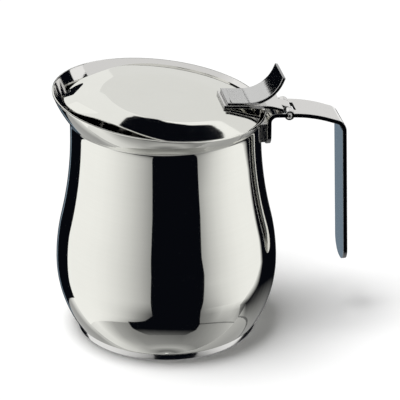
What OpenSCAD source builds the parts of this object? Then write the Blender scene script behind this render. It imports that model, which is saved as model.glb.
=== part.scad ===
// Hot milk jug with a hinged lid, made of polished stainless steel sheet and strip.
// The origin is the centre of the foot's underside. Z is up, X points to the handle
// and away from the spout, and the jug is the same on both sides of the XZ plane.

/* [Pot] */
// Widest diameter of the belly
belly_d = 104; // [98:0.5:112]
// Height of the widest point of the belly
belly_h = 34; // [30:0.5:38]
// Radius of the curve below the widest point, seen from the side
belly_curve_r = 56.5; // [54:0.5:60]
// Radius of the heel where the wall turns in to the flat bottom
heel_r = 2.2; // [1.6:0.1:3]
// Distance by which the neck is drawn in from the widest point of the belly
neck_in = 7.6; // [6:0.1:10]
// Distance from the narrowest point of the neck up to the crease of the flared lip
neck_top = 7; // [5:0.5:10]
// Thickness of the sheet
wall = 0.9; // [0.7:0.1:1.2]

/* [Lip] */
// Height of the lip at the spout
spout_h = 120.4; // [118:0.1:123]
// Distance from the narrowest point of the neck out to the lip at the spout
spout_out = 8.1; // [7:0.1:10]
// Rise of the flare at the spout, from the crease to the lip
flare_h = 14.4; // [13:0.1:16]
// Fall of the lip from the spout to the handle
lip_fall = 11.2; // [10:0.1:11.8]
// Radius of the flare's bowl-like curve, seen from the side
flare_curve_r = 52; // [45:1:70]

/* [Base] */
// Distance from the widest point of the belly in to the side of the foot
foot_in = 9.7; // [9.5:0.1:11]
// Thickness of the heat-spreading base under the pot
base_h = 3.2; // [2.6:0.1:4]
// Thickness of the steel cap round the core
cap_t = 0.8; // [0.5:0.1:1]
// Radius of the foot's lower edge
foot_edge_r = 0.8; // [0.4:0.1:1.2]

/* [Lid] */
// Thickness of the lid sheet
lid_t = 0.7; // [0.5:0.1:1]
// Drop from the lip to the edge of the lid
lid_sink = 1.4; // [1:0.1:2]
// Rise from the edge of the lid to its flat middle
lid_crown = 1.5; // [1:0.1:2.5]
// Width of the falling skirt round the flat middle
skirt_w = 16.6; // [12:0.1:20]
// Clearance between the lid and the flare
lid_clear = 0.3; // [0.25:0.05:0.6]
// Gap between the tip of the lid and the lip at the spout
tip_gap = 3.1; // [2:0.1:4]
// Extra width of the pouring gap on each side of the tip
pour_gap = 6.5; // [4:0.1:8]
// Angle from the spout at which the pouring gap has closed
pour_angle = 97; // [85:1:110]

/* [Handle] */
// Width of all the steel strips
strip_w = 18; // [16:0.5:22]
// Thickness of the handle strip
handle_t = 2; // [1.6:0.1:2.4]
// Length of the tab on the neck, up to the middle of the root bend
tab_len = 16; // [14:0.5:18]
// Radius of the tab's lower corners
tab_corner_r = 6; // [3:0.5:8]
// Middle radius of the bend between the tab and the arm
root_bend_r = 3.5; // [3:0.1:4.5]
// Drop from the lip to the middle of the arm at the root bend
arm_drop = 3.1; // [2.8:0.1:3.6]
// Distance from the middle of the tab to the top of the grip
arm_reach = 35.8; // [33:0.2:42]
// Slope of the arm at the hinge
arm_start_slope = 3.8; // [2:0.1:5]
// Slope of the arm at the grip
arm_end_slope = 20; // [16:0.5:22]
// Radius of the arm's bow
arm_bow_r = 60; // [40:1:80]
// Middle radius of the bend between the arm and the grip
grip_bend_r = 5.5; // [4:0.1:7]
// Length of the grip below its bend's corner
grip_len = 73; // [66:0.5:78]
// Outward lean of the grip
grip_lean = 1.5; // [0:0.1:4]
// Radius of the grip's lower corners
grip_corner_r = 8; // [4:0.5:8]
// Thickness of the saddle between the neck and the tab
saddle_t = 2; // [1.5:0.1:2.5]
// Width of the saddle
saddle_w = 13; // [10:0.5:15]
// Height of the saddle
saddle_h = 9; // [7:0.5:10]

/* [Hinge] */
// Distance from the middle of the tab to the pin
hinge_out = 9.6; // [9:0.1:11]
// Diameter of the hinge pin
pin_d = 2; // [1.6:0.1:2.2]
// Length of each pin end beyond the knuckles
pin_end = 0.4; // [0.2:0.1:0.8]
// Radial clearance of the pin in the turning knuckle
pin_clear = 0.05; // [0.03:0.01:0.08]
// Radial clearance of the pin in the fixed knuckles
pin_seat = 0.02; // [0.01:0.01:0.03]
// Width of the middle knuckle
knuckle_w = 8; // [6:0.5:9]
// Gap between the knuckles, and round them
hinge_gap = 0.3; // [0.2:0.05:0.5]
// Angle to which the lid opens
open_angle = 103; // [90:1:103]

/* [Strap and lever] */
// Thickness of the lid strap
strap_t = 1.4; // [1.2:0.1:1.6]
// Length of the strap's foot on the flat middle of the lid
strap_foot = 3.2; // [2:0.1:5]
// Clearance between the strap and the lip
strap_clear = 0.4; // [0.3:0.05:0.8]
// Distance from the lip to the knee where the strap turns down to the hinge
knee_out = 1.4; // [1:0.1:2]
// Bend radius of the knee
knee_r = 16; // [8:1:20]
// Thickness of the thumb lever
lever_t = 1.5; // [1.2:0.1:1.8]
// Length of the lever's flat foot on the strap
lever_foot = 9.5; // [7:0.5:11]
// Middle radius of the lever's curl
lever_curl_r = 16.4; // [13:0.2:18]
// Angle through which the lever curls up
lever_curl = 71; // [60:1:75]
// Straight length at the lever's tip
lever_tip = 2.4; // [1:0.1:4]

/* [Hidden] */
$fn = 96;
over = 5;
arc_steps = 10;
bend_steps = 8;
lid_steps = 96;
core_gap = 0.05;

// Unit vectors, arcs and bent strips

function polar(centre, r, a) = centre + r * [cos(a), sin(a)];
function arc(centre, r, a0, a1, first, last, steps) =
    [for (i = [first:last]) polar(centre, r, a0 + (a1 - a0) * i / steps)];
function direction(p, q) = (q - p) / norm(q - p);
function left_of(v) = [-v[1], v[0]];
function reversed(list) = [for (i = [len(list) - 1:-1:0]) list[i]];

// Arc of radius r that rounds the corner at p between the legs from a and to b
function corner_arc(a, p, b, r) =
    let (u = direction(a, p), v = direction(p, b))
    let (turn = atan2(u[0] * v[1] - u[1] * v[0], u * v))
    let (side = sign(turn), start = p - u * r * tan(abs(turn) / 2))
    let (centre = start + side * r * left_of(u))
    let (a0 = atan2(start[1] - centre[1], start[0] - centre[0]))
    arc(centre, r, a0, a0 + turn, 0, bend_steps, bend_steps);

// Middle line of a strip through its corners, each rounded by its own radius
function bent_line(corners, radii) = [
    corners[0],
    for (i = [1:len(corners) - 2])
        each corner_arc(corners[i - 1], corners[i], corners[i + 1], radii[i - 1]),
    corners[len(corners) - 1]
];

// Point at distance d to the left of a line, mitred at its corners
function beside(line, i, d) =
    let (last = len(line) - 1)
    let (u = direction(line[max(i - 1, 0)], line[max(i, 1)]))
    let (v = direction(line[min(i, last - 1)], line[min(i + 1, last)]))
    line[i] + d * (left_of(u) + left_of(v)) / (1 + u * v);

// Side outline of a strip of thickness t along a middle line
function strip_outline(line, t) = concat(
    [for (i = [0:len(line) - 1]) beside(line, i, t / 2)],
    reversed([for (i = [0:len(line) - 1]) beside(line, i, -t / 2)])
);

// An outline drawn in the XZ plane, as wide as w and centred on it
module across(w) {
    translate([0, w / 2, 0])
        rotate([90, 0, 0])
            linear_extrude(height = w)
                children();
}

// A plate standing on its rounded lower edge, with its long side along X
module round_ended_plate(length_x, w, h, r) {
    rotate([90, 0, 90])
        linear_extrude(height = length_x) {
            translate([-w / 2, r])
                square([w, h - r]);
            translate([r - w / 2, 0])
                square([w - 2 * r, r]);
            for (side = [-1, 1])
                translate([side * (w / 2 - r), r])
                    circle(r);
        }
}

// Pot wall: heel, lower belly, shoulder, neck and flare are arcs that run into each other

belly_r = belly_d / 2;
neck_r = belly_r - neck_in;
crease_h = spout_h - flare_h;
neck_h = crease_h - neck_top;
lower_c = [belly_r - belly_curve_r, belly_h];
heel_h = base_h + heel_r;
heel_c = [
    lower_c[0] + sqrt(pow(belly_curve_r - heel_r, 2) - pow(belly_h - heel_h, 2)),
    heel_h
];
heel_a = atan2(heel_c[1] - lower_c[1], heel_c[0] - lower_c[0]);

// The shoulder and the neck share the bend between the belly and the neck
shoulder_share = 0.337;
waist_in = belly_r - neck_r;
waist_rise = neck_h - belly_h;
waist_bend = (pow(waist_rise, 2) + pow(waist_in, 2)) / (2 * waist_in);
shoulder_curve_r = shoulder_share * waist_bend;
neck_curve_r = waist_bend - shoulder_curve_r;
shoulder_c = [belly_r - shoulder_curve_r, belly_h];
neck_c = [neck_r + neck_curve_r, neck_h];
waist_a = atan2(neck_c[1] - shoulder_c[1], neck_c[0] - shoulder_c[0]);
crease_a = asin((crease_h - neck_h) / neck_curve_r);
crease = polar(neck_c, neck_curve_r, 180 - crease_a);

// The flare's arc runs from the crease to the lip at the spout, and past it to be cut
spout_reach = neck_r + spout_out;
spout_lip = [spout_reach, spout_h];
flare_half = norm(spout_lip - crease) / 2;
flare_c = (crease + spout_lip) / 2
    + sqrt(pow(flare_curve_r, 2) - pow(flare_half, 2)) * left_of(direction(crease, spout_lip));
flare_a = asin((crease_h - flare_c[1]) / flare_curve_r);
top_a = asin((spout_h + over - flare_c[1]) / flare_curve_r);

function flare_at(z, inset) =
    flare_c[0] + sqrt(pow(flare_curve_r - inset, 2) - pow(z - flare_c[1], 2));

// Point on the mitre of the crease, inset from the outside
function crease_at(inset) =
    let (n1 = direction(crease, neck_c), n2 = direction(flare_c, crease))
    crease - inset * (n1 + n2) / (1 + n1 * n2);

function wall_line(inset) = concat(
    arc(heel_c, heel_r - inset, -90, heel_a, 0, arc_steps, arc_steps),
    arc(lower_c, belly_curve_r - inset, heel_a, 0, 1, arc_steps, arc_steps),
    arc(shoulder_c, shoulder_curve_r - inset, 0, waist_a, 1, arc_steps, arc_steps),
    arc(neck_c, neck_curve_r + inset, 180 + waist_a, 180 - crease_a, 1, arc_steps - 1, arc_steps),
    [crease_at(inset)],
    arc(flare_c, flare_curve_r - inset, flare_a, top_a, 1, arc_steps, arc_steps)
);

// The lip is cut by a plane that falls from the spout to the handle
back_lip_h = spout_h - lip_fall;
back_lip_r = flare_at(back_lip_h, 0);
lip_slope = atan2(lip_fall, spout_reach + back_lip_r);

module body() {
    color("gainsboro")
        difference() {
            rotate_extrude()
                polygon(concat([[0, base_h]], wall_line(0), reversed(wall_line(wall)), [[0, base_h + wall]]));
            translate([-spout_reach, 0, spout_h])
                rotate([0, lip_slope, 0])
                    translate([-belly_r, -belly_d, 0])
                        cube([2 * belly_d, 2 * belly_d, belly_d]);
        }
}

// Base: a core disc under the pot, held in a pressed cap that is the foot

base_r = belly_r - foot_in;

module base_core() {
    color("darkgray")
        translate([0, 0, cap_t])
            cylinder(r = base_r - cap_t - core_gap, h = base_h - cap_t);
}

module base_cap() {
    color("silver")
        rotate_extrude()
            polygon(concat(
                [[0, 0]],
                arc([base_r - foot_edge_r, foot_edge_r], foot_edge_r, -90, 0, 0, bend_steps, bend_steps),
                [[base_r, base_h], [base_r - cap_t, base_h], [base_r - cap_t, cap_t], [0, cap_t]]
            ));
}

// Lid: a flat middle and a falling skirt, tilted with the lip and trimmed to an outline
// that follows the flare and leaves a pouring gap on each side of the tip

tip_h = spout_h - lid_sink;
back_edge_h = back_lip_h - lid_sink;
lid_tip_r = flare_at(tip_h - lid_t, wall) - lid_clear - tip_gap;
lid_back_r = flare_at(back_edge_h - lid_t, wall) - lid_clear;
lid_tilt = atan2(tip_h - back_edge_h, lid_tip_r + lid_back_r);
lid_mid_r = (lid_tip_r + lid_back_r) / 2;
lid_h = tip_h - lid_tip_r * tan(lid_tilt);
lid_flat_r = lid_mid_r - skirt_w;
skirt_fall = lid_crown / skirt_w;

// Width of the gap between the lid and the flare, by the angle from the spout
function lid_gap(a) = lid_clear + (a >= pour_angle ? 0
    : tip_gap * pow(cos(90 * a / pour_angle), 2) + pour_gap * pow(sin(180 * a / pour_angle), 2));

// Height of the lid's top at a radius past the flat middle, by the angle from the spout
function skirt_h(r, a) = lid_h + r * cos(a) * tan(lid_tilt) + skirt_fall * (lid_mid_r - r);

// Radius of the lid's edge, found by steps because the flare widens with height
function edge_r(a, tries) = tries == 0 ? lid_mid_r
    : flare_at(skirt_h(edge_r(a, tries - 1), a) - lid_t, wall) - lid_gap(a);

function edge_point(a) = polar([0, 0], edge_r(a > 180 ? 360 - a : a, 3), 180 - a);

module lid() {
    far_r = spout_reach;
    far_fall = lid_crown - skirt_fall * (far_r - lid_flat_r);
    color("whitesmoke")
        intersection() {
            translate([0, 0, lid_h])
                rotate([0, lid_tilt, 0])
                    rotate_extrude()
                        polygon([
                            [0, lid_crown - lid_t], [lid_flat_r, lid_crown - lid_t], [far_r, far_fall - lid_t],
                            [far_r, far_fall], [lid_flat_r, lid_crown], [0, lid_crown]
                        ]);
            linear_extrude(height = spout_h + over)
                polygon([for (i = [0:lid_steps - 1]) edge_point(360 * i / lid_steps)]);
        }
}

// Handle: one strip from the tab on the neck over the root bend, along the bowed arm,
// round the bend and down the grip. Places are in the XZ plane.

tab_x = neck_r + saddle_t + handle_t / 2;
arm_h = back_lip_h - arm_drop;
root = [tab_x, arm_h];
tab_end = [tab_x, arm_h - tab_len];
arm_mid_share = 0.565;
arm_mid = root + arm_mid_share * arm_reach * [1, -tan(arm_start_slope)];
grip_top = arm_mid + (1 - arm_mid_share) * arm_reach * [1, -tan(arm_end_slope)];
grip_end = grip_top + grip_len * [sin(grip_lean), -cos(grip_lean)];
handle_line = bent_line([tab_end, root, arm_mid, grip_top, grip_end], [root_bend_r, arm_bow_r, grip_bend_r]);

pin_x = tab_x + hinge_out;
pin_h = arm_h - hinge_out * tan(arm_start_slope);
pin_place = [pin_x, pin_h];
knuckle_r = pin_d / 2 + pin_clear + strap_t;
lug_w = (strip_w - knuckle_w) / 2 - hinge_gap;

// A cylinder about the hinge axis, centred at y
module on_hinge(r, w, y) {
    translate([pin_x, y + w / 2, pin_h])
        rotate([90, 0, 0])
            cylinder(r = r, h = w);
}

module both_lugs(r, w) {
    for (side = [-1, 1])
        on_hinge(r, w, side * (strip_w - lug_w) / 2);
}

// Strap: its middle line lies on the lid, lifts over the lip, and turns down at the knee
// to run into the top of the knuckle

lid_top = [0, lid_h] + lid_crown * [sin(lid_tilt), cos(lid_tilt)];
lid_down = [cos(lid_tilt), -sin(lid_tilt)];
strap_rise = strap_t / 2;
strap_first = lid_top + (lid_flat_r - strap_foot) * lid_down + strap_rise * left_of(lid_down);
strap_lift = lid_top + lid_flat_r * lid_down + strap_rise * left_of(lid_down);
knee = [back_lip_r + knee_out, back_lip_h + strap_clear + strap_rise];
knee_run = norm(pin_place - knee);
knee_a = atan2(pin_h - knee[1], pin_x - knee[0]) + asin((knuckle_r - strap_rise) / knee_run);
strap_last = polar(pin_place, knuckle_r - strap_rise, knee_a + 90);
strap_line = bent_line([strap_first, strap_lift, knee, strap_last], [knee_r, knee_r]);

// Where the top of the opened strap leaves the arm, seen from the pin
open_a = knee_a + 90 - open_angle;
swing_x = (knuckle_r - handle_t / 2 * sin(open_a)) / cos(open_a);
swing_r = norm([swing_x, handle_t / 2]);

module lid_strap() {
    color("silver")
        difference() {
            union() {
                across(strip_w)
                    polygon(strip_outline(strap_line, strap_t));
                on_hinge(knuckle_r, knuckle_w, 0);
            }
            both_lugs(swing_r + hinge_gap, lug_w + 2 * hinge_gap);
            on_hinge(pin_d / 2 + pin_clear, strip_w + over, 0);
        }
}

// Lever: a foot that lies on the strap and bends with it, then the curl and a straight tip

strap_run = direction(strap_lift, knee);
lever_rise = (strap_t + lever_t) / 2;
lever_first = strap_first + strap_t * lid_down + lever_rise * left_of(lid_down);
lever_lift = beside([strap_first, strap_lift, knee], 1, lever_rise);
curl_leg = lever_curl_r * tan(lever_curl / 2);
lever_corner = lever_lift + (lever_foot + strap_t - strap_foot + curl_leg) * strap_run;
strap_a = atan2(strap_run[1], strap_run[0]);
lever_last = polar(lever_corner, curl_leg + lever_tip, strap_a + lever_curl);
lever_line = bent_line(
    [lever_first, lever_lift, lever_corner, lever_last],
    [knee_r - lever_rise, lever_curl_r]
);

module thumb_lever() {
    color("lightgray")
        across(strip_w)
            polygon(strip_outline(lever_line, lever_t));
}

module hinge_pin() {
    color("dimgray")
        on_hinge(pin_d / 2, strip_w + 2 * pin_end, 0);
}

// Saddle: a small block, hollowed to the neck and flat to the tab
module neck_saddle() {
    saddle_low = tab_end[1] + (tab_len - root_bend_r - saddle_h) / 2;
    color("gray")
        difference() {
            translate([0, -saddle_w / 2, saddle_low])
                cube([neck_r + saddle_t, saddle_w, saddle_h]);
            rotate_extrude()
                polygon(concat([[0, base_h]], wall_line(0), [[0, spout_h]]));
        }
}

module handle() {
    grip_low = grip_end[1] - handle_t * sin(grip_lean) / 2;
    color("silver")
        difference() {
            union() {
                intersection() {
                    across(strip_w)
                        polygon(strip_outline(handle_line, handle_t));
                    union() {
                        translate([tab_x - handle_t, 0, tab_end[1]])
                            round_ended_plate(2 * handle_t, strip_w, tab_len + over, tab_corner_r);
                        translate([tab_x, 0, grip_low])
                            round_ended_plate(grip_end[0] + over - tab_x, strip_w, spout_h, grip_corner_r);
                    }
                }
                both_lugs(knuckle_r, lug_w);
            }
            on_hinge(knuckle_r + hinge_gap, knuckle_w + 2 * hinge_gap, 0);
            translate([pin_x, -knuckle_w / 2 - hinge_gap, pin_h - knuckle_r])
                cube([swing_x + hinge_gap, knuckle_w + 2 * hinge_gap, 2 * knuckle_r]);
            on_hinge(pin_d / 2 + pin_seat, strip_w + over, 0);
        }
}

body();
base_core();
base_cap();
lid();
lid_strap();
thumb_lever();
hinge_pin();
neck_saddle();
handle();
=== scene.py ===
import math

import bmesh
import bpy
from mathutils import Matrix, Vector


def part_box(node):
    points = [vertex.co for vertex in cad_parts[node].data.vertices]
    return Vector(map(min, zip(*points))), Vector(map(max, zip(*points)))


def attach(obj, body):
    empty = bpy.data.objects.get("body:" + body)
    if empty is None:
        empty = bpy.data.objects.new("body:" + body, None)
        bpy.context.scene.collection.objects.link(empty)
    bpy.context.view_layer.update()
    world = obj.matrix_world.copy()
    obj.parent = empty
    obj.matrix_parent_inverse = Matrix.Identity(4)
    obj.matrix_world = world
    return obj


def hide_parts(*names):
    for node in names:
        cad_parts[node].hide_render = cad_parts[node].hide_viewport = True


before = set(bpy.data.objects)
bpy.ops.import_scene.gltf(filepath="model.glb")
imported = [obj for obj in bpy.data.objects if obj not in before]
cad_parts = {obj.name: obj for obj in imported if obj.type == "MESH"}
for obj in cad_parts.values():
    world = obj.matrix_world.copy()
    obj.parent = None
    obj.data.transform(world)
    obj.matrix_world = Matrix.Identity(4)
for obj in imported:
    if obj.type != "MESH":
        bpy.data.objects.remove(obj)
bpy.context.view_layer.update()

# Pot
# One shell spun from stainless sheet and polished to a mirror outside: heel, belly, drawn-in
# neck and a bowl-like flare. The lip is cut on a slant, high at the spout, and rounded over.
WALL = 0.0009
BELLY = Vector((0.0520, 0.0340))
BELLY_CURVE = 0.0565
HEEL_CURVE = 0.0022
NECK = Vector((0.0444, 0.0990))
CREASE_HEIGHT = 0.1060
SPOUT_LIP = Vector((0.0525, 0.1204))
BACK_LIP_HEIGHT = 0.1092
FLARE_CURVE = 0.0520
SHOULDER_SHARE = 0.337
CREASE_SOFTNESS = 0.0005
LIP_ROUNDING = 0.00036
TURN_STEPS = 160
FLOOR_STEPS = 6
HEEL_STEPS = 6
LONG_CURVE_STEPS = 18
SHORT_CURVE_STEPS = 12
EDGE_SEGMENTS = 4
EDGE_SHARPNESS = math.radians(50)
MERGE_DISTANCE = 1e-7
LIP_TRIES = 8
ORDER_DIGITS = 8

base_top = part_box("base_cap")[1].z


def arc(centre, radius, start, stop, steps):
    """Points along an arc in the XZ plane, with both ends."""
    angles = [start + (stop - start) * i / steps for i in range(steps + 1)]
    return [centre + radius * Vector((math.cos(a), math.sin(a))) for a in angles]


def angle_of(centre, point):
    """Angle of a point seen from a centre."""
    return math.atan2(point.y - centre.y, point.x - centre.x)


lower_centre = Vector((BELLY.x - BELLY_CURVE, BELLY.y))
heel_height = base_top + HEEL_CURVE
heel_reach = math.sqrt((BELLY_CURVE - HEEL_CURVE) ** 2 - (BELLY.y - heel_height) ** 2)
heel_centre = Vector((lower_centre.x + heel_reach, heel_height))
heel_angle = angle_of(lower_centre, heel_centre)

waist = Vector((BELLY.x - NECK.x, NECK.y - BELLY.y))
waist_bend = waist.length_squared / (2 * waist.x)
shoulder_curve = SHOULDER_SHARE * waist_bend
neck_curve = waist_bend - shoulder_curve
shoulder_centre = Vector((BELLY.x - shoulder_curve, BELLY.y))
neck_centre = Vector((NECK.x + neck_curve, NECK.y))
waist_angle = angle_of(shoulder_centre, neck_centre)
crease_rise = math.asin((CREASE_HEIGHT - NECK.y) / neck_curve)
crease = neck_centre + neck_curve * Vector((-math.cos(crease_rise), math.sin(crease_rise)))

flare_half = (SPOUT_LIP - crease) / 2
flare_normal = Vector((-flare_half.y, flare_half.x)).normalized()
flare_depth = math.sqrt(FLARE_CURVE ** 2 - flare_half.length_squared)
flare_centre = crease + flare_half + flare_depth * flare_normal
flare_start = angle_of(flare_centre, crease)
flare_stop = angle_of(flare_centre, SPOUT_LIP)


def flare_radius(height, inset=0):
    """Radius of the flare at a height, on the outside or inset from it."""
    return flare_centre.x + math.sqrt((FLARE_CURVE - inset) ** 2 - (height - flare_centre.y) ** 2)


lip_fall = (SPOUT_LIP.y - BACK_LIP_HEIGHT) / (SPOUT_LIP.x + flare_radius(BACK_LIP_HEIGHT))


def lip_height(azimuth):
    """Height of the slanted lip, by the direction round the axis from the handle."""
    height = SPOUT_LIP.y
    for _ in range(LIP_TRIES):
        height = SPOUT_LIP.y - lip_fall * (flare_radius(height) * math.cos(azimuth) + SPOUT_LIP.x)
    return height


def in_order(vert):
    """Sorting key of a point, by its place."""
    return [round(part, ORDER_DIGITS) for part in vert.co]


def shaded_object(name, mesh_work):
    """A smooth shaded object in the scene, made from finished bmesh work.

    Its points and faces are sorted, because bmesh leaves faces in another order each run.
    """
    points = sorted(mesh_work.verts, key=in_order)
    places = {vert: i for i, vert in enumerate(points)}
    faces = []
    for face in mesh_work.faces:
        corners = [places[vert] for vert in face.verts]
        first = corners.index(min(corners))
        faces.append(corners[first:] + corners[:first])
    mesh = bpy.data.meshes.new(name)
    mesh.from_pydata([vert.co[:] for vert in points], [], sorted(faces))
    mesh.shade_smooth()
    mesh_work.free()
    made = bpy.data.objects.new(name, mesh)
    bpy.context.scene.collection.objects.link(made)
    return made


def spin_round(work, outline, steps, centre=(0, 0, 0), axis=(0, 0, 1)):
    """Turns points and lines about an axis, into a surface that faces outwards."""
    bmesh.ops.spin(
        work, geom=outline, cent=centre, axis=axis,
        angle=math.tau, steps=steps, use_merge=True,
    )
    bmesh.ops.remove_doubles(work, verts=work.verts, dist=MERGE_DISTANCE)
    bmesh.ops.recalc_face_normals(work, faces=work.faces)
    return work


def turned(outline, steps):
    """A bmesh surface turned about the Z axis, from an outline in the XZ plane."""
    work = bmesh.new()
    points = [work.verts.new((p.x, 0, p.y)) for p in outline]
    lines = [work.edges.new(pair) for pair in zip(points, points[1:])]
    return spin_round(work, points + lines, steps)


def walled(piece, thickness, offset, rounding, levels):
    """Gives a sheet its thickness, rounded edges and, for curved sheet, a finer mesh."""
    wall = piece.modifiers.new("wall", "SOLIDIFY")
    wall.thickness = thickness
    wall.offset = offset
    wall.use_even_offset = True
    edge = piece.modifiers.new("rounded edges", "BEVEL")
    edge.width = rounding
    edge.segments = EDGE_SEGMENTS
    edge.limit_method = "ANGLE"
    edge.angle_limit = EDGE_SHARPNESS
    if levels:
        finer = piece.modifiers.new("finer", "SUBSURF")
        finer.levels = levels
        finer.render_levels = levels
    return piece


below_rise = crease_rise - CREASE_SOFTNESS / neck_curve
neck_below = neck_centre + neck_curve * Vector((-math.cos(below_rise), math.sin(below_rise)))
crease_turn = CREASE_SOFTNESS / FLARE_CURVE
pot_outline = (
    [Vector((heel_centre.x * i / FLOOR_STEPS, base_top)) for i in range(FLOOR_STEPS)]
    + arc(heel_centre, HEEL_CURVE, -math.pi / 2, heel_angle, HEEL_STEPS)
    + arc(lower_centre, BELLY_CURVE, heel_angle, 0, LONG_CURVE_STEPS)[1:]
    + arc(shoulder_centre, shoulder_curve, 0, waist_angle, SHORT_CURVE_STEPS)[1:]
    + arc(
        neck_centre, neck_curve, math.pi + waist_angle, math.pi - crease_rise, LONG_CURVE_STEPS,
    )[1:-1]
    + [neck_below]
    + arc(flare_centre, FLARE_CURVE, flare_start + crease_turn, flare_stop, SHORT_CURVE_STEPS)
)
pot_work = turned(pot_outline, TURN_STEPS)
for vert in pot_work.verts:
    if vert.co.z > CREASE_HEIGHT:
        radius = math.hypot(vert.co.x, vert.co.y)
        azimuth = math.atan2(vert.co.y, vert.co.x)
        height = lip_height(azimuth)
        lip_angle = angle_of(flare_centre, Vector((flare_radius(height), height)))
        old_angle = angle_of(flare_centre, Vector((radius, vert.co.z)))
        share = (old_angle - flare_start) / (flare_stop - flare_start)
        angle = flare_start + share * (lip_angle - flare_start)
        point = flare_centre + FLARE_CURVE * Vector((math.cos(angle), math.sin(angle)))
        vert.co = (point.x * math.cos(azimuth), point.x * math.sin(azimuth), point.y)
pot = walled(shaded_object("pot", pot_work), WALL, -1, LIP_ROUNDING, 1)


class Value:
    """A number in a node tree, which Python sums and products can be written on."""

    def __init__(self, tree, socket):
        self.tree = tree
        self.socket = socket

    def math(self, operation, other):
        return self.tree.node("ShaderNodeMath", {"operation": operation}, {0: self, 1: other})

    def __add__(self, other):
        return self.math("ADD", other)

    __radd__ = __add__

    def __mul__(self, other):
        return self.math("MULTIPLY", other)

    __rmul__ = __mul__


class Tree:
    """A node tree whose nodes are added by one call each."""

    def __init__(self, owner):
        owner.use_nodes = True
        self.nodes = owner.node_tree.nodes
        self.links = owner.node_tree.links

    def node(self, kind, settings, values, output=0):
        """Adds a node with its settings and socket values, and returns one of its outputs."""
        made = self.nodes.new(kind)
        for setting, value in settings.items():
            if setting == "stops":
                for stop, (place, grey) in zip(made.color_ramp.elements, value):
                    stop.position = place
                    stop.color = (grey, grey, grey, 1)
            else:
                setattr(made, setting, value)
        self.fill(made, values)
        return Value(self, made.outputs[output])

    def fill(self, node, values):
        """Sets a node's sockets to plain values, or links Values to them."""
        for name, value in values.items():
            if isinstance(value, Value):
                self.links.new(value.socket, node.inputs[name])
            else:
                node.inputs[name].default_value = value


class Paint(Tree):
    """The node tree of one finish."""

    def __init__(self, name):
        self.material = bpy.data.materials.new(name)
        super().__init__(self.material)

    def finish(self, **values):
        """Sets the shader's sockets, with underscores for the blanks in their names."""
        sockets = {name.replace("_", " "): value for name, value in values.items()}
        self.fill(self.nodes["Principled BSDF"], sockets)
        return self.material


SMUDGE_SCALE = 38.0
SMUDGE_SHARE = 0.6
SWIRL_DRIFT = 0.02
GRAIN_HEIGHT = 0.0001
WEAR_STOPS = ((0.3, 0.965), (0.7, 1.0))


def steel(
    name, colour, roughness, uneven, grain_scale, grain_depth, grain_stretch=(1, 1, 1), swirl=False,
):
    """Stainless steel whose colour, roughness and bump follow the lines of its polishing.

    grain_stretch squeezes the pattern across the lines. With swirl the lines run round the
    Z axis, as on a piece that was polished while it turned.
    """
    paint = Paint(name)
    place = paint.node("ShaderNodeTexCoord", {}, {}, "Object")
    if swirl:
        parts = [paint.node("ShaderNodeSeparateXYZ", {}, {0: place}, i) for i in range(3)]
        across = {0: place, 1: (1, 1, 0)}
        flat = paint.node("ShaderNodeVectorMath", {"operation": "MULTIPLY"}, across)
        radius = paint.node("ShaderNodeVectorMath", {"operation": "LENGTH"}, {0: flat}, "Value")
        corners = {0: radius, 1: parts[2], 2: parts[0] * SWIRL_DRIFT}
        lines = paint.node("ShaderNodeCombineXYZ", {}, corners)
    else:
        lines = paint.node("ShaderNodeMapping", {}, {"Vector": place, "Scale": grain_stretch})
    fine = {"Vector": lines, "Scale": grain_scale, "Detail": 4.0, "Roughness": 0.6}
    grain = paint.node("ShaderNodeTexNoise", {}, fine)
    broad = {"Vector": place, "Scale": SMUDGE_SCALE, "Detail": 3.0, "Roughness": 0.55}
    smudge = paint.node("ShaderNodeTexNoise", {}, broad)
    wear = SMUDGE_SHARE * smudge + (1 - SMUDGE_SHARE) * grain
    shade = paint.node("ShaderNodeValToRGB", {"stops": WEAR_STOPS}, {0: wear})
    multiply = {"data_type": "RGBA", "blend_type": "MULTIPLY"}
    tint = paint.node("ShaderNodeMix", multiply, {0: 1.0, 6: (*colour, 1), 7: shade}, 2)
    relief = {"Strength": grain_depth, "Distance": GRAIN_HEIGHT, "Height": grain}
    bump = paint.node("ShaderNodeBump", {}, relief)
    return paint.finish(
        Base_Color=tint, Metallic=1.0, Roughness=roughness + uneven * wear, Normal=bump,
    )


def dress(piece, body, slot, finish, *nodes):
    """Gives a piece its finish, its body and the CAD nodes that it stands for. The slot is not
    used.
    """
    piece.data.materials.append(finish)
    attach(piece, body)
    if nodes:
        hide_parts(*nodes)


def spun_inside(piece):
    """Gives the inner face of a polished sheet the finish that it was spun with."""
    piece.data.materials.append(spun_steel)
    piece.modifiers["wall"].material_offset = 1
    piece.modifiers["wall"].material_offset_rim = 0


mirror_steel = steel("mirror steel", (0.84, 0.84, 0.785), 0.015, 0.04, 900.0, 0.02, swirl=True)
spun_steel = steel("spun inner steel", (0.78, 0.77, 0.75), 0.03, 0.05, 2600.0, 0.05, swirl=True)
dress(pot, "jug", "polished_steel", mirror_steel, "body")
spun_inside(pot)

# Base
# A heat-spreading aluminium disc is sealed under the pot by a pressed steel cap, which is
# the foot. Its lower edge is rounded and its underside keeps the fine rings of turning.
CAP_THICKNESS = 0.0008
FOOT_EDGE = 0.0008
FOOT_TOP_EDGE = 0.0002
DISH_STEP = 0.0003
DISH_SHARE = 0.30
DISH_EDGE_SHARE = 0.32
FOOT_FLAT_SHARE = 0.9
FOOT_EDGE_STEPS = 8
FOOT_TOP_STEPS = 4

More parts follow.
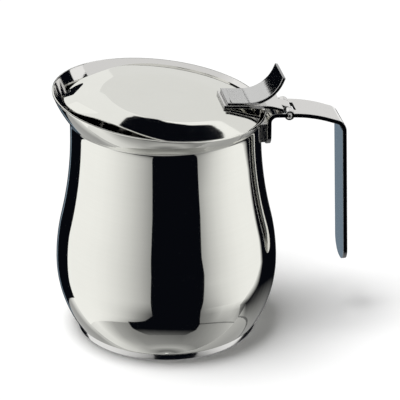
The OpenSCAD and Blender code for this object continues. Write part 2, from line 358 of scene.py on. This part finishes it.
foot_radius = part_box("base_cap")[1].y
cap_inside = foot_radius - CAP_THICKNESS
foot_edge_centre = Vector((foot_radius - FOOT_EDGE, FOOT_EDGE))
foot_top_centre = Vector((foot_radius - FOOT_TOP_EDGE, base_top - FOOT_TOP_EDGE))
foot_outline = (
    [Vector((0, DISH_STEP)), Vector((foot_radius * DISH_SHARE, DISH_STEP))]
    + [Vector((foot_radius * DISH_EDGE_SHARE, 0)), Vector((foot_radius * FOOT_FLAT_SHARE, 0))]
    + arc(foot_edge_centre, FOOT_EDGE, -math.pi / 2, 0, FOOT_EDGE_STEPS)
    + arc(foot_top_centre, FOOT_TOP_EDGE, 0, math.pi / 2, FOOT_TOP_STEPS)
    + [Vector((cap_inside, base_top)), Vector((cap_inside, CAP_THICKNESS))]
    + [Vector((0, CAP_THICKNESS))]
)
foot = shaded_object("foot_cap", turned(foot_outline, TURN_STEPS))
foot_steel = steel("foot steel", (0.74, 0.735, 0.72), 0.05, 0.12, 1800.0, 0.12, swirl=True)
dress(foot, "jug", "foot_steel", foot_steel, "base_cap")

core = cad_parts["base_core"]
core.data.materials.clear()
core_aluminium = steel("core aluminium", (0.78, 0.78, 0.79), 0.35, 0.15, 900.0, 0.3, swirl=True)
core.data.materials.append(core_aluminium)

# Lid
# A thin disc pressed from the same sheet, with a flat middle and a skirt that falls to its
# edge. It is round at the handle and drawn in towards the spout, so milk passes its tip.
LID_THICKNESS = 0.0007
LID_SINK = 0.0014
LID_CROWN = 0.0015
SKIRT_WIDTH = 0.0166
LID_CLEARANCE = 0.0003
TIP_GAP = 0.0031
POUR_GAP = 0.0065
POUR_ANGLE = math.radians(97)
NOSE_WIDTH = 0.0055
NOSE_DROP = 0.0018
NOSE_ANGLE = math.radians(32)
LID_RINGS = 45
LID_BREAK = 0.0030
LID_ROUNDING = 0.00022
LID_TRIES = 3

tip_height = SPOUT_LIP.y - LID_SINK
back_height = BACK_LIP_HEIGHT - LID_SINK
lid_tip = flare_radius(tip_height - LID_THICKNESS, WALL) - LID_CLEARANCE - TIP_GAP
lid_back = flare_radius(back_height - LID_THICKNESS, WALL) - LID_CLEARANCE
lid_tilt = math.atan2(tip_height - back_height, lid_tip + lid_back)
lid_middle = (lid_tip + lid_back) / 2
lid_height = tip_height - lid_tip * math.tan(lid_tilt)
lid_flat = lid_middle - SKIRT_WIDTH
skirt_fall = LID_CROWN / SKIRT_WIDTH


def lid_gap(turn):
    """Gap between lid and flare, by the angle from the spout."""
    if turn >= POUR_ANGLE:
        return LID_CLEARANCE
    share = turn / POUR_ANGLE
    tip = TIP_GAP * math.cos(share * math.pi / 2) ** 2
    return LID_CLEARANCE + tip + POUR_GAP * math.sin(share * math.pi) ** 2


def lid_edge(turn):
    """Radius of the lid's edge, by the angle from the spout."""
    radius = lid_middle
    for _ in range(LID_TRIES):
        height = lid_height + radius * math.cos(turn) * math.tan(lid_tilt)
        height += skirt_fall * (lid_middle - radius)
        radius = flare_radius(height - LID_THICKNESS, WALL) - lid_gap(turn)
    return radius


def crown(radius):
    """Height of the lid's top over its edge plane, with a soft break where the skirt starts."""
    past = radius - lid_flat
    if past <= -LID_BREAK:
        return LID_CROWN
    if past >= LID_BREAK:
        return LID_CROWN - skirt_fall * past
    return LID_CROWN - skirt_fall * (past + LID_BREAK) ** 2 / (4 * LID_BREAK)


def nose_drop(from_edge, turn):
    """Drop of the turned-down nose, by the distance from the edge and the angle from the spout."""
    across_share = max(0, 1 - turn / NOSE_ANGLE)
    inward_share = max(0, 1 - from_edge / NOSE_WIDTH)
    return NOSE_DROP * inward_share * min(1, 2 * across_share)


lid_outline = [Vector((lid_middle * i / LID_RINGS, 0)) for i in range(LID_RINGS + 1)]
lid_work = turned(lid_outline, TURN_STEPS)
for vert in lid_work.verts:
    azimuth = math.atan2(vert.co.y, vert.co.x)
    turn = math.pi - abs(azimuth)
    edge = lid_edge(turn)
    radius = math.hypot(vert.co.x, vert.co.y) * edge / lid_middle
    rise = crown(radius) / math.cos(lid_tilt) - nose_drop(edge - radius, turn)
    along = radius * math.cos(azimuth)
    vert.co = (along, radius * math.sin(azimuth), lid_height - along * math.tan(lid_tilt) + rise)
bmesh.ops.recalc_face_normals(lid_work, faces=lid_work.faces)
if sum(face.normal.z for face in lid_work.faces) < 0:
    bmesh.ops.reverse_faces(lid_work, faces=lid_work.faces)
lid = walled(shaded_object("lid_disc", lid_work), LID_THICKNESS, -1, LID_ROUNDING, 1)
dress(lid, "lid_assembly", "lid_steel", mirror_steel, "lid")
spun_inside(lid)

# Handle
# One strip of thicker steel: a tab on the neck with round lower corners, the root bend, the
# bowed arm with the slot for the hinge, and the straight grip. Its edges are ground smooth.
STRIP_WIDTH = 0.0180
HANDLE_THICKNESS = 0.0020
SADDLE_THICKNESS = 0.0020
TAB_LENGTH = 0.0160
TAB_CORNER = 0.0060
ROOT_BEND = 0.0035
ARM_DROP = 0.0031
ARM_REACH = 0.0358
ARM_MIDDLE_SHARE = 0.565
ARM_START_SLOPE = math.radians(3.8)
ARM_END_SLOPE = math.radians(20)
ARM_BOW = 0.0600
GRIP_BEND = 0.0055
GRIP_LENGTH = 0.0730
GRIP_LEAN = math.radians(1.5)
GRIP_CORNER = 0.0080
STRIP_ROUNDING = 0.0003
CORNER_SEGMENTS = 14
BEND_STEPS = 16
SAME_HEIGHT = 1e-6
FLAT_WEIGHT = 100
HINGE_OUT = 0.0096
PIN_RADIUS = 0.0010
PIN_CLEARANCE = 0.00005
STRAP_THICKNESS = 0.0014
STRAP_CLEARANCE = 0.0004
KNEE_OUT = 0.0014
KNUCKLE_WIDTH = 0.0080
HINGE_GAP = 0.0003
OPEN_ANGLE = math.radians(103)


def corner_arc(before, corner, after, radius, steps):
    """Points along the bend of a strip's middle line at a corner."""
    arriving = (corner - before).normalized()
    leaving = (after - corner).normalized()
    turn = math.atan2(arriving.cross(leaving), arriving.dot(leaving))
    start = corner - arriving * radius * math.tan(abs(turn) / 2)
    side = math.copysign(1, turn)
    centre = start + side * radius * Vector((-arriving.y, arriving.x))
    first = angle_of(centre, start)
    return arc(centre, radius, first, first + turn, steps)


def bent_line(corners, radii, steps=BEND_STEPS):
    """Middle line of a strip through its corners, each rounded by its own radius."""
    line = [corners[0]]
    for before, corner, after, radius in zip(corners, corners[1:], corners[2:], radii):
        line += corner_arc(before, corner, after, radius, steps)
    return line + [corners[-1]]


def sheet_along(line, width):
    """A bmesh sheet as wide as the strip, along its middle line in the XZ plane."""
    work = bmesh.new()
    front = [work.verts.new((p.x, -width / 2, p.y)) for p in line]
    rear = [work.verts.new((p.x, width / 2, p.y)) for p in line]
    for corners in zip(front, front[1:], rear[1:], rear):
        work.faces.new(corners)
    bmesh.ops.recalc_face_normals(work, faces=work.faces)
    return work


def slit(work, point, normal):
    """Cuts the sheet's faces along a plane and keeps both sides."""
    geometry = work.verts[:] + work.edges[:] + work.faces[:]
    bmesh.ops.bisect_plane(
        work, geom=geometry, plane_co=point, plane_no=normal, dist=MERGE_DISTANCE,
    )


def round_corners(work, near_height, radius):
    """Rounds the two corners of the sheet's end that lies at a height."""
    at_height = [v for v in work.verts if abs(v.co.z - near_height) < SAME_HEIGHT]
    ends = [v for v in at_height if len(v.link_edges) == 2]
    bmesh.ops.bevel(
        work, geom=ends, offset=radius, offset_type="OFFSET", affect="VERTICES",
        segments=CORNER_SEGMENTS, profile=0.5, material=-1,
    )


tab_x = NECK.x + SADDLE_THICKNESS + HANDLE_THICKNESS / 2
arm_height = BACK_LIP_HEIGHT - ARM_DROP
root = Vector((tab_x, arm_height))
tab_end = root - Vector((0, TAB_LENGTH))
arm_middle = root + ARM_MIDDLE_SHARE * ARM_REACH * Vector((1, -math.tan(ARM_START_SLOPE)))
grip_top = arm_middle + (1 - ARM_MIDDLE_SHARE) * ARM_REACH * Vector((1, -math.tan(ARM_END_SLOPE)))
grip_end = grip_top + GRIP_LENGTH * Vector((math.sin(GRIP_LEAN), -math.cos(GRIP_LEAN)))
pin_place = root + HINGE_OUT * Vector((1, -math.tan(ARM_START_SLOPE)))
knuckle_radius = PIN_RADIUS + PIN_CLEARANCE + STRAP_THICKNESS
lug_width = (STRIP_WIDTH - KNUCKLE_WIDTH) / 2 - HINGE_GAP

knee_height = BACK_LIP_HEIGHT + STRAP_CLEARANCE + STRAP_THICKNESS / 2
knee_place = Vector((flare_radius(BACK_LIP_HEIGHT) + KNEE_OUT, knee_height))
knee_to_pin = pin_place - knee_place
knee_angle = math.atan2(knee_to_pin.y, knee_to_pin.x)
knee_angle += math.asin((knuckle_radius - STRAP_THICKNESS / 2) / knee_to_pin.length)
open_normal = knee_angle + math.pi / 2 - OPEN_ANGLE
swing = (knuckle_radius - HANDLE_THICKNESS / 2 * math.sin(open_normal)) / math.cos(open_normal)
swing_radius = math.hypot(swing, HANDLE_THICKNESS / 2)

handle_corners = [tab_end, root, arm_middle, grip_top, grip_end]
handle_line = bent_line(handle_corners, [ROOT_BEND, ARM_BOW, GRIP_BEND])
handle_work = sheet_along(handle_line, STRIP_WIDTH)
round_corners(handle_work, tab_end.y, TAB_CORNER)
round_corners(handle_work, grip_end.y, GRIP_CORNER)
slot_side = KNUCKLE_WIDTH / 2 + HINGE_GAP
slot_start = pin_place.x - knuckle_radius - HINGE_GAP
slot_stop = pin_place.x + swing + HINGE_GAP
slit(handle_work, (slot_start, 0, 0), (1, 0, 0))
slit(handle_work, (slot_stop, 0, 0), (1, 0, 0))
slit(handle_work, (0, slot_side, 0), (0, 1, 0))
slit(handle_work, (0, -slot_side, 0), (0, 1, 0))
slot_faces = []
for face in handle_work.faces:
    middle = face.calc_center_median()
    if abs(middle.y) < slot_side and slot_start < middle.x < slot_stop and middle.z > tab_end.y:
        slot_faces.append(face)
bmesh.ops.delete(handle_work, geom=slot_faces, context="FACES")


def flat_shading(piece):
    """Keeps the flats of a strip flat to the eye up to its rounded edges."""
    even = piece.modifiers.new("flats stay flat", "WEIGHTED_NORMAL")
    even.mode = "FACE_AREA"
    even.weight = FLAT_WEIGHT
    even.keep_sharp = False
    return piece


def strip_piece(name, work, thickness):
    """A strip with its thickness and rounded edges, from the sheet along its middle line."""
    return flat_shading(walled(shaded_object(name, work), thickness, 0, STRIP_ROUNDING, 0))


def ground_edges_painted_dark(piece):
    """Gives the cut edges of a strip their own finish: ground steel painted much darker than the
    faces, a painted dark reflection.
    """
    piece.data.materials.append(dark_painted_edge_steel)
    piece.modifiers["wall"].material_offset_rim = 1


handle = strip_piece("handle_strip", handle_work, HANDLE_THICKNESS)
strip_steel = steel("polished strip", (0.80, 0.79, 0.77), 0.05, 0.08, 700.0, 0.06, (0.06, 1, 0.06))
# The edges' steel is painted far darker than the faces: the grinding is real, the dark is a painted
# reflection.
dark_painted_edge_steel = steel("ground edges", (0.30, 0.30, 0.305), 0.03, 0.05, 900.0, 0.02, (0.1, 0.1, 1))
dress(handle, "jug", "handle_steel", strip_steel, "handle")
ground_edges_painted_dark(handle)

# Hinge
# The strip carries a short tube on each side of its slot, and the strap's end is rolled into
# the tube between them. A pin with domed ends holds the three together.
KNUCKLE_ROUNDING = 0.0003
PIN_END = 0.0004
PIN_DOME_ANGLES = (0.5, 0.9, 1.25, 1.57)
ROUND_SHARE = 0.3
TUBE_STEPS = 64
PIN_STEPS = 48
HINGE_AXIS = (0, 1, 0)

hinge_centre = Vector((pin_place.x, 0, pin_place.y))


def tube_across(name, inner, outer, low, high, rounding):
    """A tube about the hinge axis between two places across the strip, with rounded rims."""
    work = bmesh.new()
    cut = rounding * ROUND_SHARE
    ring = [
        (inner, low), (outer - rounding, low), (outer - cut, low + cut), (outer, low + rounding),
        (outer, high - rounding), (outer - cut, high - cut), (outer - rounding, high),
        (inner, high),
    ]
    points = [work.verts.new(hinge_centre + Vector((0, y, r))) for r, y in ring]
    lines = [work.edges.new((points[i - 1], points[i])) for i in range(len(points))]
    spin_round(work, points + lines, TUBE_STEPS, hinge_centre, HINGE_AXIS)
    return shaded_object(name, work)


for side, word in ((-1, "front"), (1, "rear")):
    ends = sorted((side * STRIP_WIDTH / 2, side * (STRIP_WIDTH / 2 - lug_width)))
    lug = tube_across(f"handle_knuckle_{word}", PIN_RADIUS, knuckle_radius, *ends, KNUCKLE_ROUNDING)
    flat_shading(lug)
    dress(lug, "jug", "handle_steel", strip_steel, "handle")

pin_half = STRIP_WIDTH / 2 + PIN_END
pin_work = bmesh.new()
pin_outline = [Vector((0, -pin_half))]
for angle in PIN_DOME_ANGLES:
    rise = PIN_END * (1 - math.cos(angle))
    pin_outline.append(Vector((PIN_RADIUS * math.sin(angle), rise - pin_half)))
pin_outline += [Vector((p.x, -p.y)) for p in reversed(pin_outline)]
pin_points = [pin_work.verts.new(hinge_centre + Vector((0, p.y, p.x))) for p in pin_outline]
pin_lines = [pin_work.edges.new(pair) for pair in zip(pin_points, pin_points[1:])]
spin_round(pin_work, pin_points + pin_lines, PIN_STEPS, hinge_centre, HINGE_AXIS)
pin = shaded_object("hinge_pin_wire", pin_work)
pin_steel = steel("drawn wire", (0.68, 0.68, 0.67), 0.18, 0.1, 1400.0, 0.1, (1, 0.1, 1))
dress(pin, "jug", "pin_steel", pin_steel, "hinge_pin")

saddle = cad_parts["neck_saddle"]
saddle.data.materials.clear()
saddle_steel = steel("saddle steel", (0.62, 0.62, 0.61), 0.2, 0.15, 900.0, 0.2, (1, 1, 0.2))
saddle.data.materials.append(saddle_steel)

# Lid strap
# A thinner strip welded to the lid's flat. It lifts over the lip, turns down at a knee and
# narrows to a tongue that is rolled round the pin.
STRAP_FOOT = 0.0032
KNEE_BEND = 0.0160
EYE_TURN = math.radians(300)
EYE_STEPS = 40
STRAP_BEND_STEPS = 10

lid_along = Vector((math.cos(lid_tilt), -math.sin(lid_tilt)))
lid_up = Vector((math.sin(lid_tilt), math.cos(lid_tilt)))
lid_top = Vector((0, lid_height)) + LID_CROWN * lid_up
strap_first = lid_top + (lid_flat - STRAP_FOOT) * lid_along + STRAP_THICKNESS / 2 * lid_up
strap_lift = lid_top + lid_flat * lid_along + STRAP_THICKNESS / 2 * lid_up
eye_radius = knuckle_radius - STRAP_THICKNESS / 2
eye_start = knee_angle + math.pi / 2
eye_line = arc(pin_place, eye_radius, eye_start, eye_start - EYE_TURN, EYE_STEPS)
strap_corners = [strap_first, strap_lift, knee_place, eye_line[0]]
strap_line = bent_line(strap_corners, [KNEE_BEND, KNEE_BEND], STRAP_BEND_STEPS)
strap_work = sheet_along(strap_line[:-1] + eye_line, STRIP_WIDTH)
knee_run = Vector((math.cos(knee_angle), math.sin(knee_angle)))
tongue_reach = math.sqrt((swing_radius + HINGE_GAP) ** 2 - (knuckle_radius - STRAP_THICKNESS) ** 2)
shoulder_place = eye_line[0] - tongue_reach * knee_run
slit(strap_work, (shoulder_place.x, 0, shoulder_place.y), (knee_run.x, 0, knee_run.y))
slit(strap_work, (0, KNUCKLE_WIDTH / 2, 0), (0, 1, 0))
slit(strap_work, (0, -KNUCKLE_WIDTH / 2, 0), (0, 1, 0))
shoulder_faces = []
for face in strap_work.faces:
    middle = face.calc_center_median()
    past_shoulder = (Vector((middle.x, middle.z)) - shoulder_place).dot(knee_run) > 0
    if abs(middle.y) > KNUCKLE_WIDTH / 2 and past_shoulder:
        shoulder_faces.append(face)
bmesh.ops.delete(strap_work, geom=shoulder_faces, context="FACES")
strap = strip_piece("lid_strap_strip", strap_work, STRAP_THICKNESS)
dress(strap, "lid_assembly", "strip_steel", strip_steel, "lid_strap")
ground_edges_painted_dark(strap)

# Thumb lever
# A short strip welded on the strap. Its foot lies flat and the rest curls up into a rest for
# the thumb. It keeps the lengthwise satin grain of the rolled strip.
LEVER_THICKNESS = 0.0015
LEVER_FOOT = 0.0095
LEVER_CURL_RADIUS = 0.0164
LEVER_CURL = math.radians(71)
LEVER_TIP = 0.0024
LEVER_BEND_STEPS = 32

strap_run = (knee_place - strap_lift).normalized()
strap_up = Vector((-strap_run.y, strap_run.x))
lever_rise = (STRAP_THICKNESS + LEVER_THICKNESS) / 2
lever_first = strap_first + STRAP_THICKNESS * lid_along + lever_rise * lid_up
lever_lift = strap_lift + lever_rise * (lid_up + strap_up) / (1 + lid_along.dot(strap_run))
curl_leg = LEVER_CURL_RADIUS * math.tan(LEVER_CURL / 2)
lever_corner = lever_lift + (LEVER_FOOT + STRAP_THICKNESS - STRAP_FOOT + curl_leg) * strap_run
lever_heading = math.atan2(strap_run.y, strap_run.x) + LEVER_CURL
lever_end_run = Vector((math.cos(lever_heading), math.sin(lever_heading)))
lever_last = lever_corner + (curl_leg + LEVER_TIP) * lever_end_run
lever_corners = [lever_first, lever_lift, lever_corner, lever_last]
lever_bends = [KNEE_BEND - lever_rise, LEVER_CURL_RADIUS]
lever_line = bent_line(lever_corners, lever_bends, LEVER_BEND_STEPS)
lever_work = sheet_along(lever_line, STRIP_WIDTH)
lever = strip_piece("thumb_rest", lever_work, LEVER_THICKNESS)
satin_steel = steel("satin strip", (0.61, 0.61, 0.60), 0.05, 0.12, 1300.0, 0.22, (0.03, 1, 0.03))
dress(lever, "lid_assembly", "satin_steel", satin_steel, "thumb_lever")
ground_edges_painted_dark(lever)

# Studio
# A pale floor in an even white room, under one wide soft light from above left. Far black and
# slate cards, seen only in the reflections, draw the dark bands of the polished steel.
HANDLE_AZIMUTH = math.radians(10.5)
CAMERA_ELEVATION = math.radians(25.387)
CAMERA_DISTANCE = 1.400
CAMERA_REACH = 50
SENSOR_WIDTH = 36
LENS = 268.3
AIM_OUT = 0.01594
AIM_HEIGHT = 0.06292
FLOOR_HALF = 6.0
FLOOR_TONE = 0.93
KEY_FALL = (0.26, 0.06, -1.07)
KEY_SPREAD = math.radians(34)
KEY_POWER = 3.05
ROOM_FILL = 0.18
FAR_CARDS = 3.0
PATTERN_CARD = 1.2
TONE_CARDS = 1.21
CARD_STEPS = 6
ZENITH = 89


def from_camera_frame(x, y, z):
    """A point given with the camera's right as X and its depth as Y, in the jug's frame."""
    cosine, sine = math.cos(HANDLE_AZIMUTH), math.sin(HANDLE_AZIMUTH)
    return Vector((x * cosine + y * sine, y * cosine - x * sine, z))


camera_data = bpy.data.cameras.new("camera")
camera_data.lens = LENS
camera_data.sensor_width = SENSOR_WIDTH
camera_data.clip_end = CAMERA_REACH
camera = bpy.data.objects.new("camera", camera_data)
depth = CAMERA_DISTANCE * math.cos(CAMERA_ELEVATION)
rise = CAMERA_DISTANCE * math.sin(CAMERA_ELEVATION)
aim = from_camera_frame(AIM_OUT, 0, AIM_HEIGHT)
camera.location = from_camera_frame(AIM_OUT, -depth, AIM_HEIGHT + rise)
camera.rotation_euler = (aim - camera.location).to_track_quat("-Z", "Y").to_euler()
bpy.context.scene.collection.objects.link(camera)
bpy.context.scene.camera = camera


def stage_card(name, rows, finish):
    """A card of the studio, from rows of corners in the camera's frame, each with its shade."""
    work = bmesh.new()
    shade = work.verts.layers.float.new("shade")
    grid = []
    for row in rows:
        line = []
        for x, y, z, cover in row:
            vert = work.verts.new(from_camera_frame(x, y, z))
            vert[shade] = cover
            line.append(vert)
        grid.append(line)
    for near, far in zip(grid, grid[1:]):
        for corners in zip(near, near[1:], far[1:], far):
            work.faces.new(corners)
    mesh = bpy.data.meshes.new(name)
    work.to_mesh(mesh)
    work.free()
    card = bpy.data.objects.new(name, mesh)
    card.data.materials.append(finish)
    bpy.context.scene.collection.objects.link(card)
    return card


floor_finish = Paint("floor").finish(
    Base_Color=(FLOOR_TONE, FLOOR_TONE, FLOOR_TONE, 1), Roughness=0.9, Specular_IOR_Level=0.0,
)
floor_rows = [[(x, y, 0, 0) for x in (-FLOOR_HALF, FLOOR_HALF)] for y in (-FLOOR_HALF, FLOOR_HALF)]
stage_card("floor", floor_rows, floor_finish).visible_glossy = False


def card_finish(name, colour):
    """A card's even tone, which covers as much as the card's shade says."""
    paint = Paint(name)
    shade = paint.node("ShaderNodeAttribute", {"attribute_name": "shade"}, {}, "Fac")
    clear = paint.node("ShaderNodeBsdfTransparent", {}, {})
    paint.finish(
        Base_Color=(0, 0, 0, 1), Specular_IOR_Level=0.0,
        Emission_Color=(*colour, 1), Emission_Strength=1.0,
    )
    cover = Value(paint, paint.nodes["Principled BSDF"].outputs[0])
    mixed = paint.node("ShaderNodeMixShader", {}, {0: shade, 1: clear, 2: cover})
    paint.fill(paint.nodes["Material Output"], {"Surface": mixed})
    return paint.material


black = card_finish("black card", (0.0025, 0.003, 0.005))
slate = card_finish("slate card", (0.18, 0.24, 0.30))


def mirrored_card(name, finish, rows):
    """A card that only the reflections see."""
    card = stage_card(name, rows, finish)
    card.visible_camera = False
    card.visible_diffuse = False
    card.visible_shadow = False
    card.visible_transmission = False


def far_card(name, finish, rows):
    """A card on the far dome, from rows of (direction, elevation, shade) in degrees."""
    far_rows = []
    for row in rows:
        line = []
        for start, end in zip(row, row[1:]):
            for i in range(CARD_STEPS):
                line.append([a + (b - a) * i / CARD_STEPS for a, b in zip(start, end)])
        far_row = []
        for direction, elevation, shade in line + [row[-1]]:
            direction, elevation = math.radians(direction), math.radians(elevation)
            out = FAR_CARDS * math.cos(elevation)
            height = FAR_CARDS * math.sin(elevation)
            far_row.append((out * math.sin(direction), -out * math.cos(direction), height, shade))
        far_rows.append(far_row)
    mirrored_card(name, finish, far_rows)


def fading(start, end, shade, power, rows):
    """Rows whose shade falls from start to end, by their elevation, shift and strength."""
    faded = []
    for elevation, shift, strength in rows:
        row = [(start, elevation, min(1, shade * strength))]
        for i in range(1, CARD_STEPS + 1):
            share = i / CARD_STEPS
            cover = min(1, shade * strength * (1 - share) ** power)
            row.append((start + (end - start) * share + shift, elevation, cover))
        faded.append(row)
    return faded


def level(elevation, *shades):
    """A row at one elevation, from (direction, shade) pairs."""
    return [(direction, elevation, shade) for direction, shade in shades]


def rear_card(name, depth_behind, rows):
    """A flat card behind the jug, from rows of (across, height, shade)."""
    placed = []
    for row in rows:
        placed.append([(across, depth_behind, height, shade) for across, height, shade in row])
    mirrored_card(name, black, placed)


far_card("front_band", black, [
    [(-15.5, 26, 1), (39, 26, 1)],
    [(-15.5, 5, 1), (39, 5, 1)],
    [(-15, 0, 1), (37, 0, 1)],
    [(-14.5, -10, 1), (39, -10, 1)],
    [(-15.5, -25, 1), (39, -25, 1)],
    [(-15, -38, 1), (38, -35, 1)],
    [(-25, -44, 1), (40, -43, 1)],
    [(-47, -46, 1), (43, -49, 1)],
    [(-46, -53, 1), (42, -55, 1)],
    [(-28, -61, 0.3), (30, -61, 0.5)],
])
far_card("left_fade", black, fading(-13, -90, 0.7, 2, [
    (5, 0, 1), (-25, 0, 1), (-30, -2, 1.15), (-36, -4, 1.35), (-42, -6, 1.45), (-47, -18, 1.4),
]))
far_card("right_fade", black, fading(36.5, 100, 0.65, 2.5, [
    (5, 0, 1), (-16, 0, 1), (-24, 3, 1.1), (-33, 9, 1.25),
]))
# The right_low and ground cards stand for the floor as the steel reflects it; their greys are
# painted shade of the jug's shadow near the foot.
far_card("right_low", black, [
    level(-33, (35, 0.85), (53, 0.5), (65, 0.25), (80, 0.1), (90, 0.1), (100, 0.15)),
    level(-39, (35, 0.85), (53, 0.7), (65, 0.45), (80, 0.4), (90, 0.5), (100, 0.8)),
    level(-49, (35, 0.85), (53, 0.75), (65, 0.65), (80, 0.6), (90, 0.5), (100, 0.5)),
])
far_card("ground", black, [
    level(-47, (-122, 0.2), (-100, 0.05), (-70, 0.6), (-47, 0.75))
    + level(-48, (44, 0.8), (100, 0.4)),
    level(-62, (-125, 0.15), (-100, 0.2), (-75, 0.6), (-47, 0.75), (25, 0.85), (100, 0.6)),
    level(-73, (-125, 0.3), (-100, 0.35), (-70, 0.55), (-47, 0.7), (25, 0.75), (100, 0.75)),
    level(-79, (-125, 0.45), (-100, 0.5), (-70, 0.6), (-47, 0.55), (25, 0.55), (100, 0.6)),
    level(-85, (-125, 0.7), (-100, 0.7), (-70, 0.75), (-47, 0.85), (25, 0.85), (100, 0.8)),
    level(-89, (-125, 0.6), (-100, 0.6), (-70, 0.6), (-47, 0.6), (25, 0.6), (100, 0.6)),
])
far_card("left_rear", black, [
    [(-150, 75, 1), (-118, 75, 1)],
    [(-150, 5, 1), (-120, 5, 1)],
    [(-156.8, 4, 1), (-120, 4, 1)],
    [(-156.8, -10, 1), (-122, -10, 1)],
    [(-156.8, -34, 1), (-122, -34, 1)],
])
far_card("left_rear_low", black, [
    level(-34, (-175, 0.4), (-150, 0.6), (-140, 0.6), (-125, 0.05)),
    level(-52, (-175, 0.4), (-150, 0.6), (-132, 0.65), (-120, 0.3)),
    level(-73, (-175, 0.4), (-150, 0.5), (-132, 0.3), (-120, 0.3)),
    level(-89, (-175, 0.5), (-150, 0.5), (-132, 0.5), (-120, 0.5)),
])
far_card("rear", slate, [
    [(-156.8, 4, 1), (-163, 4, 1)],
    [(-156.8, -34, 1), (-163, -34, 1)],
])
far_card("rear_edge", black, [
    level(4, (-163, 1), (-172, 1), (-185, 0.7), (-195, 1)),
    level(-34, (-163, 1), (-172, 1), (-185, 0.7), (-195, 1)),
    level(-36, (-163, 0.8), (-175, 0.6), (-188, 0.6), (-195, 0.6)),
    level(-46, (-175, 0.6), (-180, 0.6), (-188, 0.6), (-195, 0.6)),
])
far_card("left_nose", black, [
    [(-163, 18.5, 1), (-173.5, 18.5, 1)],
    [(-163, 4, 1), (-173.5, 4, 1)],
])
far_card("front_high", black, [
    level(12, (-90, 0), (-70, 0.2), (0, 0.2), (60, 0.2), (97, 0.2)),
    level(73, (-90, 0.2), (-70, 0.2), (0, 0.2), (60, 0.2), (97, 0.2)),
])
ceiling_edge = [
    (-180, 46), (-165, 45), (-158, 44), (-118, 60), (-60, 72),
    (60, 72), (110, 60), (150, 50), (180, 46),
]
far_card("ceiling", black, [
    [(direction, elevation, 0.8) for direction, elevation in ceiling_edge],
    [(direction, ZENITH, 0.45) for direction, _ in ceiling_edge],
])
far_card("right_rear", black, [
    level(34, (97, 1), (117, 1), (160, 1)),
    level(18, (97, 1), (117, 1), (160, 1)),
    level(17, (117, 1), (118, 1), (160, 1)),
    level(4, (116, 1), (118, 1), (160, 1)),
    level(-10, (113, 0), (116, 1), (162, 1)),
    level(-20, (113, 0), (118, 1), (165, 1)),
    level(-28, (98, 0), (112, 1), (165, 1)),
    level(-36, (90, 0.5), (100, 1), (165, 0.7)),
    level(-45, (100, 0.5), (115, 0.7), (165, 0.6)),
])
far_card("right_rear_low", black, [
    level(-44, (100, 0.5), (130, 0.6), (185, 0.6)),
    level(-89, (100, 0.6), (130, 0.7), (185, 0.8)),
])
rear_card("high_rear_card", PATTERN_CARD, [
    [(0.100, 0.592, 1), (0.096, 0.592, 1)],
    [(0.118, 0.662, 1), (0.072, 0.662, 1)],
    [(0.181, 0.753, 1), (0.058, 0.753, 1)],
    [(0.258, 0.757, 1), (0.057, 0.757, 1)],
    [(0.260, 0.828, 1), (0.038, 0.828, 1)],
    [(0.268, 1.500, 1), (0.012, 1.500, 1)],
])
rear_card("low_rear_card", TONE_CARDS, [
    [(0.470, 0.10, 0.20), (0.098, 0.10, 0.20), (-0.020, 0.10, 0.20)],
    [(0.470, 0.84, 0.20), (0.098, 0.60, 0.20), (-0.020, 0.58, 0.20)],
])
rear_card("soft_rear_card", TONE_CARDS, [
    [(0.098, 0.60, 0.08), (-0.020, 0.58, 0.08), (-0.020, 0.10, 0.08), (-0.600, 0.10, 0.08)],
    [(0.098, 0.90, 0.08), (-0.020, 0.90, 0.08), (-0.020, 0.90, 0.08), (-0.600, 0.90, 0.08)],
])

key_data = bpy.data.lights.new("key_lamp", "SUN")
key_data.angle = KEY_SPREAD
key_data.energy = KEY_POWER
key_lamp = bpy.data.objects.new("key_lamp", key_data)
key_lamp.rotation_euler = from_camera_frame(*KEY_FALL).to_track_quat("-Z", "Y").to_euler()
key_lamp.visible_glossy = False
key_lamp.visible_camera = False
bpy.context.scene.collection.objects.link(key_lamp)

world = bpy.data.worlds.new("white room")
bpy.context.scene.world = world
room = Tree(world)
seen = room.node("ShaderNodeLightPath", {}, {}, "Is Camera Ray")
mirrored = room.node("ShaderNodeLightPath", {}, {}, "Is Glossy Ray")
strength = ROOM_FILL + (1 - ROOM_FILL) * seen.math("MAXIMUM", mirrored)
room.fill(room.nodes["Background"], {"Color": (1, 1, 1, 1), "Strength": strength})

bpy.context.scene.view_settings.view_transform = "Standard"
